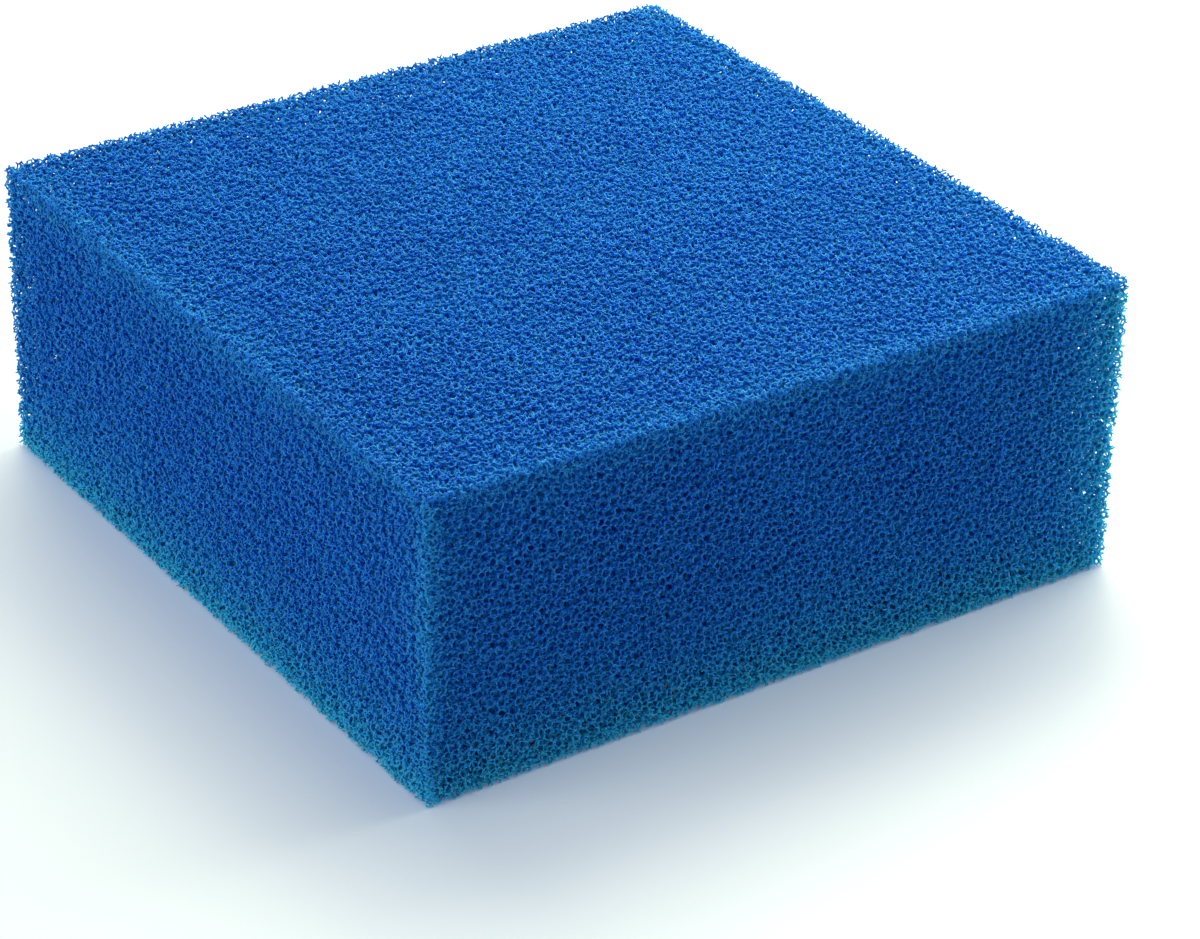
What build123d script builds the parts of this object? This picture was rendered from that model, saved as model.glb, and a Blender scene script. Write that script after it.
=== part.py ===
"""Filter sponge: one square block of open-cell polyurethane foam, cut for a filter basket.

The block is the envelope of the foam, with its cut faces as planes. It stands on its
large bottom face, and its origin is the centre of that face: +Z is the thickness, and
+X and +Y run along the two equal sides. All sizes are in millimetres.
"""
import os

from build123d import *

# Driving dimensions
SIDE = 125.0         # both plan sides, to fill a square basket
THICKNESS = 50.0     # height of one sponge in a stack of filter media
EDGE_SOFTNESS = 0.8  # the cut edges lose about half a cell, so they aren't knife sharp


def foam_block():
    """The foam's envelope: a square block on Z = 0 with slightly softened edges."""
    block = Box(SIDE, SIDE, THICKNESS, align=(Align.CENTER, Align.CENTER, Align.MIN))
    return fillet(block.edges(), EDGE_SOFTNESS)


NODES = {"foam_block": foam_block}

os.makedirs("parts", exist_ok=True)
for name, make in NODES.items():
    solid = make()
    export_step(solid, f"parts/{name}.step")
    print(name, "volume mm3", round(solid.volume, 1))
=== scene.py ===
"""Filter sponge: a square block of blue open-cell foam, with its cells modelled as real struts.

The foam is the edge network of a periodic 3-D Voronoi diagram of evenly spread cell centres.
Each network node becomes a small closed octahedron and each network edge a three-sided strut,
as in real reticulated foam, where the film between cells is gone and only its borders stay.
The periodic network is turned by an odd angle before the block is cut from it, so no cut face
shows the same cells twice. Lengths are in metres.
"""
import itertools
import math

import bpy
import numpy as np
from mathutils import Euler, Matrix, Vector


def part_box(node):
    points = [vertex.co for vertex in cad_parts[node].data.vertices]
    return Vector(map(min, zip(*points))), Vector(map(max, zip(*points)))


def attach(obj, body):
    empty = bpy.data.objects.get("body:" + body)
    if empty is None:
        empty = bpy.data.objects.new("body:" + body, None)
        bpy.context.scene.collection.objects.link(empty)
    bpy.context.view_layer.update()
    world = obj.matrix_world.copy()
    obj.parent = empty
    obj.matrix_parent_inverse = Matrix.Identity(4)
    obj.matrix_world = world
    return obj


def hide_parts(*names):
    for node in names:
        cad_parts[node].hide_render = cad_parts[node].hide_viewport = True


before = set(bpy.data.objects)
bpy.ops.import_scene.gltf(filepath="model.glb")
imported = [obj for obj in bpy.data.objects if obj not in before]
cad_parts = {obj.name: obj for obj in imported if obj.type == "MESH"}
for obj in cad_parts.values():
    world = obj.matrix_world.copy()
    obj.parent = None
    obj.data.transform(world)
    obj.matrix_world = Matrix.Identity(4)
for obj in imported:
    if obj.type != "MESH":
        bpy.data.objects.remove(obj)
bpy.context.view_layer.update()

LOW, HIGH = (np.array(corner, float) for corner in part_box("foam_block"))

# The foam
CELL = 0.0014              # mean distance between cell centres at the cut faces
STRUT = 0.00016            # from a strut's middle line to its three ridges
SKIN_DEPTH = 0.0022        # thickness of the layer that has full-size cells
UNDERSIDE_DEPTH = 0.0015   # and its thickness on the face that lies on the table
EDGE_WIDTH = 0.0026        # a second network fills the block's edges, which are thin to look through
EDGE_SHIFT = 0.37          # that network's shift against the first, in tiles
HEART_CELL = 0.0032        # deeper in, in shadow, the cells are drawn larger
HEART_STRUT = 0.00037
HEART_DEPTH = 0.0042       # from the block's faces to the core that closes the view
CORE_ROUND = 0.002         # radius of the core's edges
CORE_BUMP = 0.0012         # depth of the core's bumps, and the grid that they are cut on
FRAY = 0.0004              # how far the saw leaves cut struts short of the face, or standing out
SHORTEST_CUT = 0.03        # the least share of a cut strut's length that is left
HOLLOW_CUT = 0.6           # the share that is left of a strut that leads into the next layer
SKIN_FIELDS = 3            # a side of the skin is this many meshes along each length, to keep each one small
TURN = (0.31, 0.52, 0.77)  # odd turn of the network against the block, radians
SEED = 7

# The periodic network. The two reaches are in cells, of which TILE_SIDE make the tile's side.
TILE_SIDE = 9
PUSH_REACH = 1.15          # cell centres nearer than this push each other apart
PUSH = 0.35                # share of that reach by which a step moves a centre
SPREAD_STEPS = 40
NEIGHBOURS = 26            # cell centres that are tried as neighbours of one
NODE_REACH = 1.3           # no node is further than this from its cells' centres
FLAT = 1e-9                # volume under which four centres count as lying in one plane
ROUNDING = 1e-7            # allowed when a node's distances to centres are compared
SMOOTH = 0.35              # share of the way to its neighbours' middle that a node moves in a step
SMOOTH_STEPS = 3
LEAST_OPENING = 0.3        # these two keep a node's ridge points close to it, where two of its struts
LEAST_SUM = 0.2            # nearly lie together or oppose each other

# The foam's colour
BLUE = (0.015, 0.188, 0.70)
# Painted shade: the core's blue is darker than the foam's, for the shade deep in the block
CORE_SHADE_BLUE = (0.012, 0.11, 0.50)
DARK_SHARE = (0.62, 0.54, 0.76)   # of the colour, where the tone is darkest
PALE_SHARE = (1.40, 1.70, 1.38)   # and where it is palest
TONE_REACH = 0.3                  # the tone runs from minus this to this, and 0 is the plain colour
NOISE_SPAN = (0.3, 0.7)           # nearly all noise values lie between these
CLOUD = 0.018                     # size of the slow variation
CLOUD_TONE = 0.05
GRAIN = 0.0012                    # size of the fine variation
GRAIN_TONE = 0.06
PAINTED_LIGHT_DEPTH = 0.0022               # painted light: struts get paler down to here, for light that scatters into the foam from all sides
PAINTED_DEPTH_TONES = (-0.18, 0.28)       # the tone at the faces, painted darker to balance that, and at that depth
PAINTED_LIGHT_DRIFT = (-0.03, 0.05)             # painted light: the foam gets paler from its left end to its right, where the near lamps stand
PAINTED_LIGHT_BLUE = (0.035, 0.52, 1.0)     # painted light: a paler blue, blended in along the block's edges, where light comes through the foam
TOP_PAINTED_GLOW = (0.28, 0.004)          # strength and length of the painted light's dying away below the top edges,
CORNER_PAINTED_GLOW = (0.35, 0.004)       # beside the upright edges,
FOOT_PAINTED_GLOW = (1.00, 0.0068)        # above the table
SIDE_PAINTED_GLOW = (1.00, 0.0070)        # and beside the upright edges at the right, where the light comes from
PAINTED_GLOW_DEPTHS = (0.0027, 0.009)     # depths where the painted light begins to fade on its way in, and where it is gone
FACE_DEPTH = 0.0003               # above this depth, struts belong to the top face,
FACE_PAINTED_GLOW = 0.25                  # which has this share of the painted light
ROUGHNESS = (0.28, 0.5)
SPECULAR = 0.06
SCATTER_RADIUS = (0.3, 0.8, 1.5)
SCATTER_SCALE = 0.0005

# The studio: place, watts, width and colour of each light, aimed at the origin
WARM = (1.0, 1.0, 0.70)
LIGHTS = {
    "key": ((0.45, 1.15, 1.6), 21, 1.2, WARM),
    "near_key": ((0.28, 0.05, 0.32), 1.3, 0.4, WARM),
    "side": ((0.42, 0.02, 0.16), 0.45, 0.25, (0.9, 0.95, 1.0)),
    "fill": ((-1.5, 0.3, 0.9), 8, 1.0, (1, 1, 1)),
}
SKY = ((0.70, 0.85, 1.0), 0.48)
FLOOR = (0.90, 0.92, 0.95)
FLOOR_SIDE = 6
FLOOR_ROUGHNESS = 0.5
FLOOR_LIGHT = ((0.60, 0.80, 1.0), 0.06)  # the table is faintly lit from below
FLOOR_GAP = 0.0002

# The camera: angles, distance, lens in mm, and its aim across and up from the block's centre
AZIMUTH, ELEVATION, ROLL = -34.88, 29.56, 1.25
DISTANCE = 0.6226
LENS = 119.0
AIM = (0.00748, -0.01649)

PAIRS = list(itertools.combinations(range(4), 2))  # the six films that meet at a node
PAIR_ID = np.zeros((4, 4), int)
for number, (one, two) in enumerate(PAIRS):
    PAIR_ID[one, two] = PAIR_ID[two, one] = number


def spread_centres(rng):
    """Cell centres spread evenly and without order in a unit cube that repeats on all sides."""
    count = TILE_SIDE ** 3
    points = rng.random((count, 3))
    reach = PUSH_REACH / TILE_SIDE
    for _ in range(SPREAD_STEPS):
        away = points[:, None] - points[None]
        away -= np.round(away)
        far = np.sqrt((away ** 2).sum(-1)) + np.eye(count)
        push = np.clip(1 - far / reach, 0, None) / far
        points = (points + PUSH * reach * (away * push[..., None]).sum(1)) % 1.0
    return points


def voronoi_nodes(points):
    """Places of the diagram's nodes, the four cells that meet at each, and those cells' tile steps."""
    count = len(points)
    away = points[None] - points[:, None]
    step = -np.round(away)
    away += step
    near = np.argsort((away ** 2).sum(-1), axis=1)[:, 1:NEIGHBOURS + 1]
    trios = np.array(list(itertools.combinations(range(NEIGHBOURS), 3)))
    places, cells, steps = [], [], []
    for i in range(count):
        others = away[i, near[i]]
        trio = trios[(near[i][trios] > i).all(1)]
        a, b, c = (others[trio[:, k]] for k in range(3))
        bc, ca, ab = np.cross(b, c), np.cross(c, a), np.cross(a, b)
        volume = (a * bc).sum(1)
        volume[np.abs(volume) < FLAT] = np.nan
        centre = 0
        for side, normal in ((a, bc), (b, ca), (c, ab)):
            centre = centre + (side ** 2).sum(1)[:, None] * normal
        centre /= 2 * volume[:, None]
        radius = (centre ** 2).sum(1)
        likely = radius < (NODE_REACH / TILE_SIDE) ** 2
        centre, radius, trio = centre[likely], radius[likely], trio[likely]
        gap = ((centre[:, None] - others[None]) ** 2).sum(-1)
        empty = (gap > radius[:, None] * (1 - ROUNDING)).all(1)
        trio = near[i][trio[empty]]
        places.append(points[i] + centre[empty])
        cells.append(np.column_stack([np.full(len(trio), i), trio]))
        steps.append(np.concatenate([np.zeros((len(trio), 1, 3)), step[i][trio]], axis=1))
    return np.concatenate(places), np.concatenate(cells), np.concatenate(steps).astype(int)


def voronoi_edges(cells, steps):
    """The diagram's edges: two nodes that share three cells, the second's tile step, and at both ends
    the three shared cells in the same order."""
    keys, owner, order, base = [], [], [], []
    for left_out in range(4):
        kept = [k for k in range(4) if k != left_out]
        rank = np.argsort(cells[:, kept], axis=1, kind="stable")
        names = np.take_along_axis(cells[:, kept], rank, 1)
        moved = np.take_along_axis(steps[:, kept], rank[..., None], 1)
        keys.append(np.column_stack([names, moved[:, 1] - moved[:, 0], moved[:, 2] - moved[:, 0]]))
        owner.append(np.arange(len(cells)))
        order.append(np.array(kept)[rank])
        base.append(moved[:, 0])
    keys, owner, order, base = (np.concatenate(x) for x in (keys, owner, order, base))
    index = np.unique(keys, axis=0, return_inverse=True)[1].reshape(-1)
    first, second = np.argsort(index, kind="stable").reshape(-1, 2).T
    ends = np.column_stack([owner[first], owner[second]])
    return ends, base[first] - base[second], order[first], order[second]


class Network:
    """One tile of the foam's network, in tile units: nodes, edges, and each node's six ridge points."""

    def __init__(self, rng):
        self.place, cells, steps = voronoi_nodes(spread_centres(rng))
        self.ends, self.step, self.cells_a, self.cells_b = voronoi_edges(cells, steps)
        for _ in range(SMOOTH_STEPS):
            self.place += SMOOTH * (self.around().mean(1) - self.place)
        toward = self.around() - self.place[:, None]
        toward /= np.linalg.norm(toward, axis=2, keepdims=True)
        self.toward = toward
        # A film's ridge point lies between the two struts that border the film at the node. Those
        # are the struts on the far side from the two other cells.
        ridge = np.empty((len(self.place), 6, 3))
        for number, (a, b) in enumerate(PAIRS):
            c, d = [k for k in range(4) if k not in (a, b)]
            middle = toward[:, c] + toward[:, d]
            length = np.linalg.norm(middle, axis=1)
            half_sine = np.sqrt(np.clip(1 - length ** 2 / 4, LEAST_OPENING, 1))
            ridge[:, number] = middle / np.maximum(length, LEAST_SUM)[:, None] / half_sine[:, None]
        self.ridge = ridge
        self.rails()
        self.node_faces()

    def around(self):
        """For each node, its four neighbours' places; the k-th is reached by the strut away from cell k."""
        found = np.empty((len(self.place), 4, 3))
        a, b = self.ends.T
        found[a, 6 - self.cells_a.sum(1)] = self.place[b] + self.step
        found[b, 6 - self.cells_b.sum(1)] = self.place[a] - self.step
        return found

    def rails(self):
        """The three ridge points at each end of an edge, anticlockwise seen from the second end."""
        def three(order):
            return np.stack([PAIR_ID[order[:, 0], order[:, 1]], PAIR_ID[order[:, 1], order[:, 2]],
                             PAIR_ID[order[:, 0], order[:, 2]]], axis=1)
        self.rail_a, self.rail_b = three(self.cells_a), three(self.cells_b)
        a = self.ends[:, 0]
        p, q, r = (self.ridge[a, self.rail_a[:, k]] for k in range(3))
        along = self.toward[a, 6 - self.cells_a.sum(1)]
        back = (np.cross(q - p, r - p) * along).sum(1) < 0
        for rail in (self.rail_a, self.rail_b):
            rail[back] = rail[back][:, ::-1]

    def node_faces(self):
        """Each node's four faces, one toward each cell, as ridge numbers wound to face outward."""
        faces = np.empty((len(self.place), 4, 3), int)
        for cell in range(4):
            other = [k for k in range(4) if k != cell]
            trio = np.tile(PAIR_ID[cell, other], (len(self.place), 1))
            p, q, r = (self.ridge[:, trio[0, k]] for k in range(3))
            inward = (np.cross(q - p, r - p) * (p + q + r)).sum(1) < 0
            trio[inward] = trio[inward][:, ::-1]
            faces[:, cell] = trio
        self.faces = faces


def inside(points, low, high):
    """Which points lie in the box between two corners."""
    return ((points > low) & (points < high)).all(-1)


def edge_distance(places):
    """How far places in the block are from its nearest edge: the middle one of their depths."""
    return np.sort(np.minimum(places - LOW, HIGH - places), axis=1)[:, 1]


def cut_foam(net, cell, strut, low, high, hollow_low, hollow_high, rng, edge_width=None):
    """Cuts a foam between two boxes out of the repeated network. Returns each node's place, its six
    ridge points and its faces, the struts between two nodes, and the struts that a cut leaves with one
    node, with the three ridge points that each of those ends in. With an edge width, the network is
    shifted and kept only along the block's edges."""
    turn = np.array(Euler(TURN).to_matrix())
    size = cell * TILE_SIDE
    corners = np.array(list(itertools.product(*zip(low, high)))) @ turn / size
    first = np.floor(corners.min(0)).astype(int) - 1
    shape = np.ceil(corners.max(0)).astype(int) + 2 - first
    tiles = np.stack(np.meshgrid(*(np.arange(n) for n in shape), indexing="ij"), -1).reshape(-1, 3)
    count = len(net.place)
    shift = EDGE_SHIFT if edge_width else 0
    place = ((net.place[None] + (tiles + first + shift)[:, None]).reshape(-1, 3) * size) @ turn.T
    in_block = inside(place, low, high)
    kept = in_block & ~inside(place, hollow_low, hollow_high)
    if edge_width:
        kept &= edge_distance(place) < edge_width
    tile_weight = np.array([shape[1] * shape[2], shape[2], 1])
    struts = []
    for number, tile in enumerate(tiles):
        if kept[number * count:(number + 1) * count].any():
            a = number * count + net.ends[:, 0]
            b = ((tile + net.step) @ tile_weight) * count + net.ends[:, 1]
            struts.append(np.column_stack([a, b, net.rail_a, net.rail_b]))
            b = number * count + net.ends[:, 1]
            a = ((tile - net.step) @ tile_weight) * count + net.ends[:, 0]
            lone = ~kept[a]
            struts.append(np.column_stack([b, a, net.rail_b[:, ::-1], net.rail_a[:, ::-1]])[lone])
    struts = np.concatenate(struts)
    struts = struts[kept[struts[:, 0]]]
    joined = kept[struts[:, 1]]
    # A node that no strut ties to another node would fall out.
    tied = np.zeros(len(place), bool)
    tied[struts[joined, :2].reshape(-1)] = True
    kept &= tied
    struts = struts[kept[struts[:, 0]]]
    joined = kept[struts[:, 1]]

    def ridges(nodes):
        return place[nodes][:, None] + (net.ridge[nodes % count] @ turn.T) * strut

    nodes = np.nonzero(kept)[0]
    renumber = np.full(len(place), -1)
    renumber[nodes] = np.arange(len(nodes))
    full, cut = struts[joined], struts[~joined]
    start, far = place[cut[:, 0]], place[cut[:, 1]]
    reach = far - start
    fray = FRAY * rng.uniform(-1, 1, (len(cut), 1))
    with np.errstate(divide="ignore"):
        share = np.where(reach > 0, high - fray - start, low + fray - start) / reach
    share = np.clip(share.min(1), SHORTEST_CUT, 1)
    share[in_block[cut[:, 1]]] = HOLLOW_CUT
    rows = np.arange(len(cut))[:, None]
    near_ring = ridges(cut[:, 0])[rows, cut[:, 2:5]]
    far_ring = ridges(cut[:, 1])[rows, cut[:, 5:8]]
    ring = near_ring + share[:, None, None] * (far_ring - near_ring)
    ring = np.clip(ring, np.append(low[:2] - FRAY, low[2]), high + FRAY)
    full[:, :2] = renumber[full[:, :2]]
    cut[:, 0] = renumber[cut[:, 0]]
    return place[nodes], np.clip(ridges(nodes), low, high), net.faces[nodes % count], full, cut, ring


def strut_faces(near, far):
    """The six triangles around each strut, from its ridge points at both ends."""
    faces = []
    for k in range(3):
        a, b = near[:, k], near[:, (k + 1) % 3]
        c, d = far[:, (k + 1) % 3], far[:, k]
        faces += [np.column_stack([a, b, c]), np.column_stack([a, c, d])]
    return np.concatenate(faces)


def foam_mesh(name, zone, zones, foam):
    """A closed mesh of the nodes in one zone and their struts. A strut into another zone ends in a cap
    that lies on the cap that closes its far node there."""
    place, ridge, node_faces, full, cut, ring = foam
    here = zones == zone
    local = np.cumsum(here) - 1
    corner = local[:, None] * 6 + np.arange(6)
    near_here, far_here = here[full[:, 0]], here[full[:, 1]]
    inner = full[near_here & far_here]
    outgoing = full[near_here & ~far_here]
    incoming = full[~near_here & far_here]
    open_cut = here[cut[:, 0]]

    def numbers(column, rails, rows):
        return corner[rows[:, column][:, None], rows[:, rails]]

    near, far = slice(2, 5), slice(5, 8)
    faces = [(local[here, None, None] * 6 + node_faces[here]).reshape(-1, 3)]
    faces.append(strut_faces(numbers(0, near, inner), numbers(1, far, inner)))
    faces.append(numbers(1, far, incoming)[:, ::-1])
    rings = np.concatenate([ridge[outgoing[:, 1][:, None], outgoing[:, far]], ring[open_cut]])
    ends = np.concatenate([outgoing, cut[open_cut]])
    points = np.concatenate([ridge[here].reshape(-1, 3), rings.reshape(-1, 3)])
    tips = here.sum() * 6 + np.arange(len(ends) * 3).reshape(-1, 3)
    faces += [strut_faces(numbers(0, near, ends), tips), tips]
    return mesh_object(name, points, np.concatenate(faces))


def mesh_object(name, points, faces):
    """A smooth-shaded object in the scene, from points and triangles."""
    mesh = bpy.data.meshes.new(name)
    mesh.vertices.add(len(points))
    mesh.vertices.foreach_set("co", points.astype(np.float32).reshape(-1))
    mesh.loops.add(faces.size)
    mesh.loops.foreach_set("vertex_index", faces.astype(np.int32).reshape(-1))
    mesh.polygons.add(len(faces))
    mesh.polygons.foreach_set("loop_start", np.arange(0, faces.size, 3, dtype=np.int32))
    mesh.polygons.foreach_set("use_smooth", np.ones(len(faces), bool))
    # A flat UV map, along the piece's two longest axes.
    spread = np.ptp(points, axis=0)
    axes = np.sort(np.argsort(spread)[1:])
    flat = (points[:, axes] - points[:, axes].min(0)) / spread.max()
    mesh.uv_layers.new(name="OFBake").data.foreach_set("uv", flat[faces.reshape(-1)].reshape(-1))
    mesh.update(calc_edges=True)
    piece = bpy.data.objects.new(name, mesh)
    bpy.context.scene.collection.objects.link(piece)
    return piece


def side_zones(place, label, low, high, hollow_low, hollow_high, count):
    """Splits a layer of foam by the block's six sides, and each side into fields, count along each
    length, so that no mesh gets too large. Returns each node's zone number and the zones' names."""
    below = np.column_stack([place - low, high - place])
    wall = np.argmin(below[:, [0, 1, 3, 4]], axis=1)
    upper, lower = place[:, 2] > hollow_high[2], place[:, 2] < hollow_low[2]
    sides = [("bottom", lower, (count, count)), ("top", upper, (count, count))]
    for number, side in enumerate(("left", "front", "right", "back")):
        fields = (1, count) if side in ("left", "right") else (count, 1)
        sides.append((side, ~upper & ~lower & (wall == number), fields))
    share = (place - low) / (high - low)
    zones = np.full(len(place), -1)
    names = []
    for side, of_side, (across, along) in sides:
        column = np.clip((share[:, 0] * across).astype(int), 0, across - 1)
        row = np.clip((share[:, 1] * along).astype(int), 0, along - 1)
        field = column * along + row
        for k in range(across * along):
            zones[of_side & (field == k)] = len(names)
            names.append(f"{label}_{side}_{k + 1}")
    return zones, names


def core():
    """The block's middle, which little light reaches: a box with round edges and the foam's bumps."""
    size = HIGH - LOW - 2 * HEART_DEPTH
    bpy.ops.mesh.primitive_cube_add(size=1)
    block = bpy.context.object
    block.data.transform(Matrix.Translation(Vector((LOW + HIGH) / 2)) @ Matrix.Diagonal((*size, 1)))
    bevel = block.modifiers.new("round", "BEVEL")
    bevel.width, bevel.segments = CORE_ROUND, 3
    grid = block.modifiers.new("grid", "REMESH")
    grid.mode, grid.voxel_size = "VOXEL", CORE_BUMP
    bumps = block.modifiers.new("bumps", "DISPLACE")
    bumps.texture = bpy.data.textures.new("bumps", "CLOUDS")
    bumps.texture.noise_scale = 2 * CORE_BUMP
    bumps.strength, bumps.mid_level = CORE_BUMP, 1.0
    seen = block.evaluated_get(bpy.context.evaluated_depsgraph_get()).to_mesh()
    seen.calc_loop_triangles()
    points = np.array([v.co for v in seen.vertices])
    faces = np.array([t.vertices for t in seen.loop_triangles])
    bpy.data.objects.remove(block)
    return mesh_object("foam_core", points, faces)


def declare(piece, material):
    """Gives a piece its material, and says that it is part of the foam block."""
    piece.data.materials.append(material)
    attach(piece, "root")
    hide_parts("foam_block")


def foam_material(name, colour):
    """Dyed polyurethane: translucent blue struts whose tone and gloss vary at random from strut to strut and
    over the block.
    Painted light makes them paler deeper in and toward the block's right end, and paler still along its
    edges and above the table, where light comes through the foam."""
    material = bpy.data.materials.new(name)
    material.use_nodes = True
    nodes, links = material.node_tree.nodes, material.node_tree.links
    shader = nodes["Principled BSDF"]
    where = nodes.new("ShaderNodeTexCoord").outputs["Object"]

    def maths(kind, *values):
        node = nodes.new("ShaderNodeMath")
        node.operation = kind
        for socket, value in zip(node.inputs, values):
            if isinstance(value, float):
                socket.default_value = value
            else:
                links.new(value, socket)
        return node.outputs["Value"]

    def noise(size, detail):
        node = nodes.new("ShaderNodeTexNoise")
        node.inputs["Scale"].default_value = 1 / size
        node.inputs["Detail"].default_value = detail
        links.new(where, node.inputs["Vector"])
        return node.outputs["Fac"]

    def remap(value, low, high, to_low, to_high):
        node = nodes.new("ShaderNodeMapRange")
        for label, number in zip(("From Min", "From Max", "To Min", "To Max"), (low, high, to_low, to_high)):
            node.inputs[label].default_value = number
        links.new(value, node.inputs["Value"])
        return node.outputs["Result"]

    def dying(depth, strength, length):
        return maths("MULTIPLY", maths("EXPONENT", maths("DIVIDE", depth, -length)), strength)

    split = nodes.new("ShaderNodeSeparateXYZ")
    links.new(where, split.inputs["Vector"])
    across, along, up = split.outputs
    from_left, from_front, above_table = (
        maths("SUBTRACT", place, float(low)) for place, low in zip((across, along, up), LOW))
    from_right, from_back, below_top = (
        maths("SUBTRACT", float(high), place) for place, high in zip((across, along, up), HIGH))
    sides = [maths("MINIMUM", from_left, from_right), maths("MINIMUM", from_front, from_back)]
    # Painted light: a paler blue is blended in below the top edges, beside the upright edges, above the
    # table and near the right end, for light that comes through the foam
    painted_glow = maths("MAXIMUM", dying(below_top, *TOP_PAINTED_GLOW), dying(maths("MAXIMUM", *sides), *CORNER_PAINTED_GLOW))
    painted_glow = maths("MAXIMUM", painted_glow, dying(above_table, *FOOT_PAINTED_GLOW))
    painted_glow_corner = maths("MAXIMUM", from_right, sides[1])
    painted_glow = maths("MAXIMUM", painted_glow, dying(painted_glow_corner, *SIDE_PAINTED_GLOW))
    painted_glow = maths("MULTIPLY", painted_glow, remap(maths("MINIMUM", *sides), *PAINTED_GLOW_DEPTHS, 1, 0))
    painted_glow = maths("MULTIPLY", painted_glow, remap(below_top, FACE_DEPTH, SKIN_DEPTH, FACE_PAINTED_GLOW, 1))

    clouds = remap(noise(CLOUD, 2), *NOISE_SPAN, -CLOUD_TONE, CLOUD_TONE)
    grains = remap(noise(GRAIN, 3), *NOISE_SPAN, -GRAIN_TONE, GRAIN_TONE)
    tone = maths("ADD", clouds, grains)
    # Painted light: paler toward the block's right end.
    tone = maths("ADD", tone, remap(across, LOW[0], HIGH[0], *PAINTED_LIGHT_DRIFT))
    # Painted light: deeper struts are paler, and those at the faces darker.
    inward = maths("MINIMUM", maths("MINIMUM", *sides), maths("MINIMUM", below_top, above_table))
    tone = maths("ADD", tone, remap(inward, 0, PAINTED_LIGHT_DEPTH, *PAINTED_DEPTH_TONES))
    ramp = nodes.new("ShaderNodeValToRGB")
    stops = ramp.color_ramp.elements
    stops.new(0.5)
    for stop, position, share in zip(stops, (0.0, 0.5, 1.0), (DARK_SHARE, (1, 1, 1), PALE_SHARE)):
        stop.position = position
        stop.color = (*np.multiply(colour, share), 1)
    links.new(remap(tone, -TONE_REACH, TONE_REACH, 0, 1), ramp.inputs["Fac"])
    # The painted light's paler blue is mixed into the foam's own colour here
    mix = nodes.new("ShaderNodeMix")
    mix.data_type = "RGBA"
    plain, lit = (socket for socket in mix.inputs if socket.enabled and socket.type == "RGBA")
    mixed = next(socket for socket in mix.outputs if socket.enabled)
    links.new(painted_glow, mix.inputs["Factor"])
    links.new(ramp.outputs["Color"], plain)
    lit.default_value = (*PAINTED_LIGHT_BLUE, 1)
    links.new(mixed, shader.inputs["Base Color"])
    links.new(remap(noise(GRAIN, 1), *NOISE_SPAN, *ROUGHNESS), shader.inputs["Roughness"])
    shader.inputs["Specular IOR Level"].default_value = SPECULAR
    shader.inputs["Subsurface Weight"].default_value = 1.0
    shader.inputs["Subsurface Radius"].default_value = SCATTER_RADIUS
    shader.inputs["Subsurface Scale"].default_value = SCATTER_SCALE
    return material


def stage_floor():
    """A pale table top, faintly lit from below."""
    bpy.ops.mesh.primitive_plane_add(size=FLOOR_SIDE, location=(0, 0, LOW[2] - FLOOR_GAP))
    floor = bpy.context.object
    floor.name = "floor"
    material = bpy.data.materials.new("floor")
    material.use_nodes = True
    shader = material.node_tree.nodes["Principled BSDF"]
    shader.inputs["Base Color"].default_value = (*FLOOR, 1)
    shader.inputs["Roughness"].default_value = FLOOR_ROUGHNESS
    shader.inputs["Emission Color"].default_value = (*FLOOR_LIGHT[0], 1)
    shader.inputs["Emission Strength"].default_value = FLOOR_LIGHT[1]
    floor.data.materials.append(material)


def stage_lights():
    """Soft area lights and a pale sky."""
    for name, (place, power, size, colour) in LIGHTS.items():
        data = bpy.data.lights.new(name, "AREA")
        data.energy, data.size, data.color = power, size, colour
        light = bpy.data.objects.new(name, data)
        bpy.context.scene.collection.objects.link(light)
        light.location = place
        light.rotation_euler = (-Vector(place)).to_track_quat("-Z", "Y").to_euler()
    world = bpy.data.worlds.new("studio")
    world.use_nodes = True
    background = world.node_tree.nodes["Background"]
    background.inputs["Color"].default_value = (*SKY[0], 1)
    background.inputs["Strength"].default_value = SKY[1]
    bpy.context.scene.world = world
    bpy.context.scene.view_settings.view_transform = "Standard"


def stage_camera():
    """The photograph's viewpoint."""
    azimuth, elevation, roll = (math.radians(angle) for angle in (AZIMUTH, ELEVATION, ROLL))
    level = math.cos(elevation)
    back = Vector((math.sin(azimuth) * level, -math.cos(azimuth) * level, math.sin(elevation)))
    right = Vector((0, 0, 1)).cross(back).normalized()
    up = back.cross(right)
    right, up = math.cos(roll) * right + math.sin(roll) * up, math.cos(roll) * up - math.sin(roll) * right
    data = bpy.data.cameras.new("camera")
    data.lens = LENS
    camera = bpy.data.objects.new("camera", data)
    bpy.context.scene.collection.objects.link(camera)
    place = Vector((LOW + HIGH) / 2) + AIM[0] * right + AIM[1] * up + DISTANCE * back
    camera.matrix_world = Matrix.Translation(place) @ Matrix((right, up, back)).transposed().to_4x4()
    bpy.context.scene.camera = camera


stage_floor()
stage_lights()
stage_camera()

rng = np.random.default_rng(SEED)
net = Network(rng)
blue = foam_material("foam_blue", BLUE)
core_shade_blue = foam_material("foam_core_painted_shade", CORE_SHADE_BLUE)
heart_low, heart_high = LOW + SKIN_DEPTH, HIGH - SKIN_DEPTH
heart_low[2] = LOW[2] + UNDERSIDE_DEPTH
skin_box = (LOW, HIGH, heart_low, heart_high)
heart_box = (heart_low, heart_high, LOW + HEART_DEPTH, HIGH - HEART_DEPTH)
layers = (
    ("foam", SKIN_FIELDS, skin_box, cut_foam(net, CELL, STRUT, *skin_box, rng)),
    ("foam_edge", 1, skin_box, cut_foam(net, CELL, STRUT, *skin_box, rng, EDGE_WIDTH)),
    ("foam_heart", 1, heart_box, cut_foam(net, HEART_CELL, HEART_STRUT, *heart_box, rng)),
)
for label, fields, box, foam in layers:
    zones, names = side_zones(foam[0], label, *box, fields)
    for zone, name in enumerate(names):
        declare(foam_mesh(name, zone, zones, foam), blue)
declare(core(), core_shade_blue)
